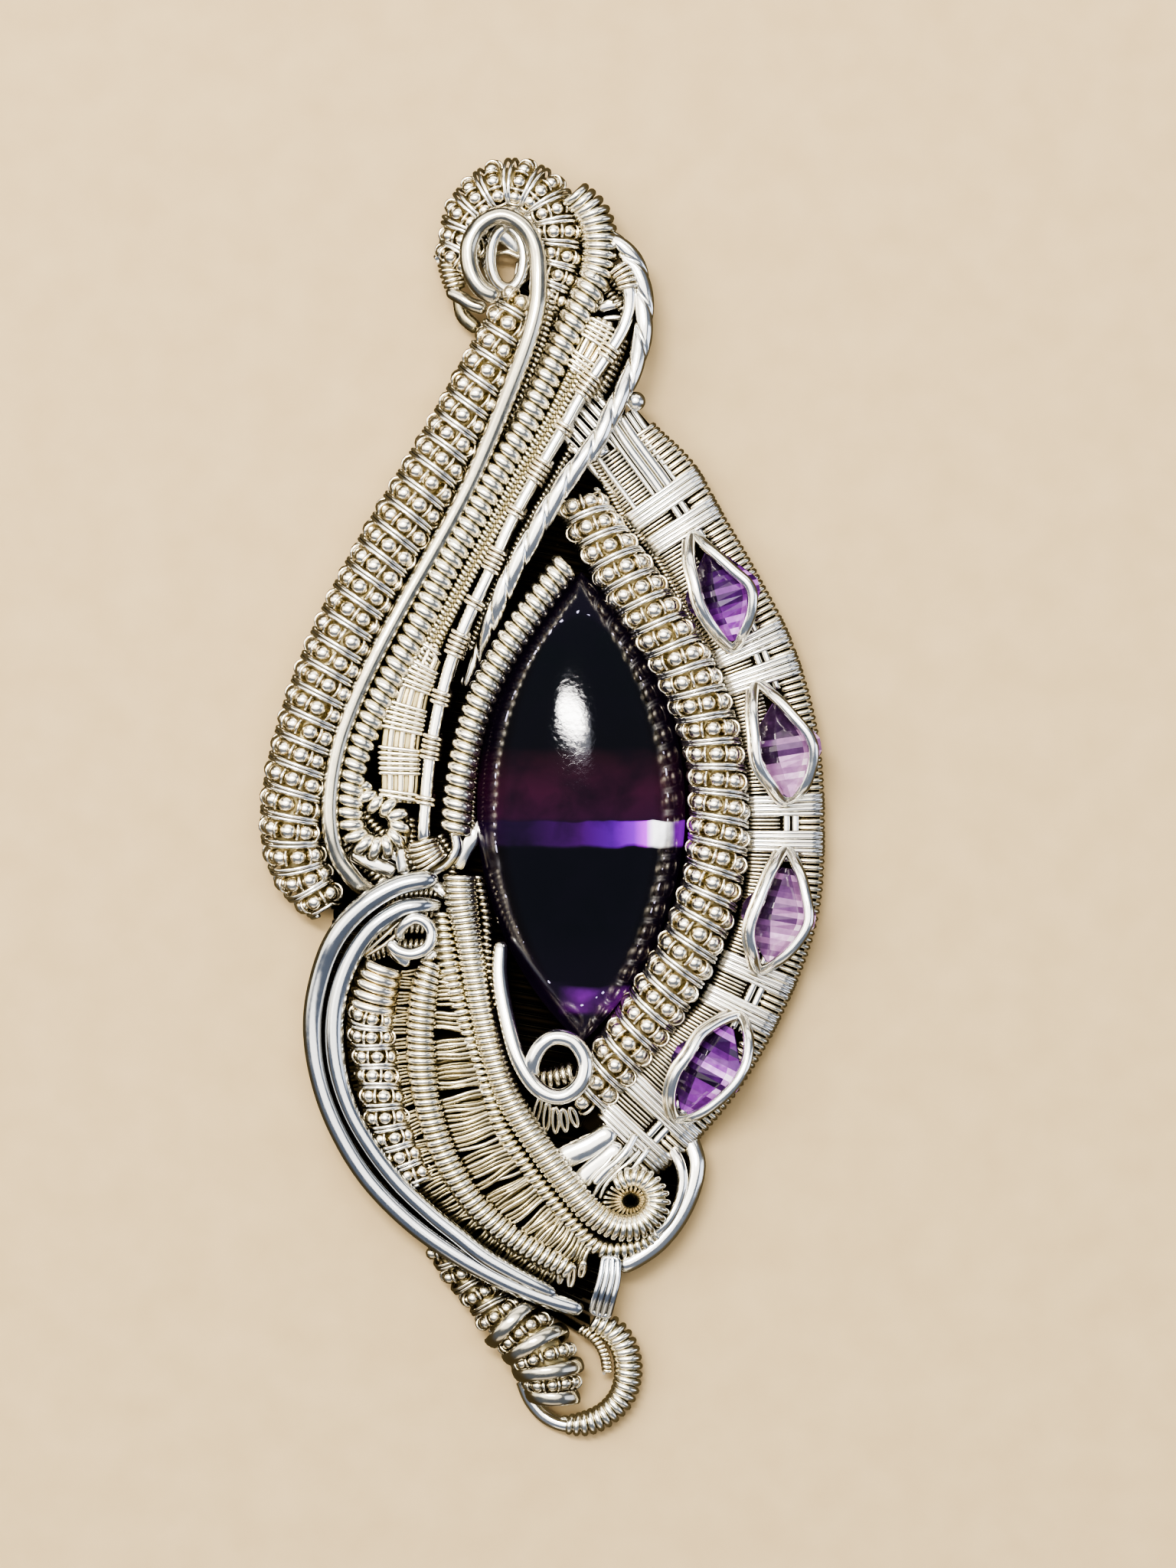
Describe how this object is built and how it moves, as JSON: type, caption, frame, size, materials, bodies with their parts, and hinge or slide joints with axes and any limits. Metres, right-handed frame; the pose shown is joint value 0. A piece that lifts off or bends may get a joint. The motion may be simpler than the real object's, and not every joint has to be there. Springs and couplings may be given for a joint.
{
  "type": "wire-wrapped pendant",
  "caption": "Free-form pendant of coiled and woven silver wire round a pointed-oval violet cabochon, with small square stones down one side and a scrolled bail.",
  "frame": {"origin": "on the surface that the pendant lies on, under the middle of its outline", "axes": "+Y from the bottom loop to the bail, +X to the right across the face, +Z out of the face"},
  "size_m": [0.035, 0.0794, 0.0065],
  "materials": {
    "silver": "polished silver wire",
    "dark_silver": "satin silver wire, a little darkened",
    "main_stone": "polished dark violet stone",
    "small_stones": "cut and polished amethyst"
  },
  "bodies": {
    "root": {"back_frame": "dark_silver", "cabochon": "main_stone", "bezel_coil": "silver", "bail_tube": "silver", "bail_lining": "dark_silver", "bail_binding": "silver", "bail_tail_1": "silver", "bail_tail_2": "dark_silver", "left_tube": "silver", "s_wire": "silver", "scroll_coil": "silver", "woven_strip": "dark_silver", "wrapped_wire": "silver", "neck_knot": "silver", "ribbon_wire": "silver", "ball_end": "dark_silver", "right_tube": "silver", "woven_band": "silver", "band_stone_1": "small_stones", "band_stone_2": "small_stones", "band_stone_3": "small_stones", "band_stone_4": "small_stones", "stone_wire_1": "silver", "stone_wire_2": "silver", "stone_wire_3": "silver", "stone_wire_4": "silver", "band_tail_1": "silver", "band_tail_2": "silver", "crescent_outer": "silver", "crescent_inner": "silver", "small_curl": "silver", "large_curl": "silver", "fan_tube": "silver", "fan_left_wire": "silver", "fan_middle_strip": "silver", "fan_right_wire": "silver", "fan_weave": "dark_silver", "rim_wire": "silver", "rim_strand": "silver", "strap": "silver", "bottom_tube": "silver", "bottom_loop": "silver"}
  },
  "joints": []
}
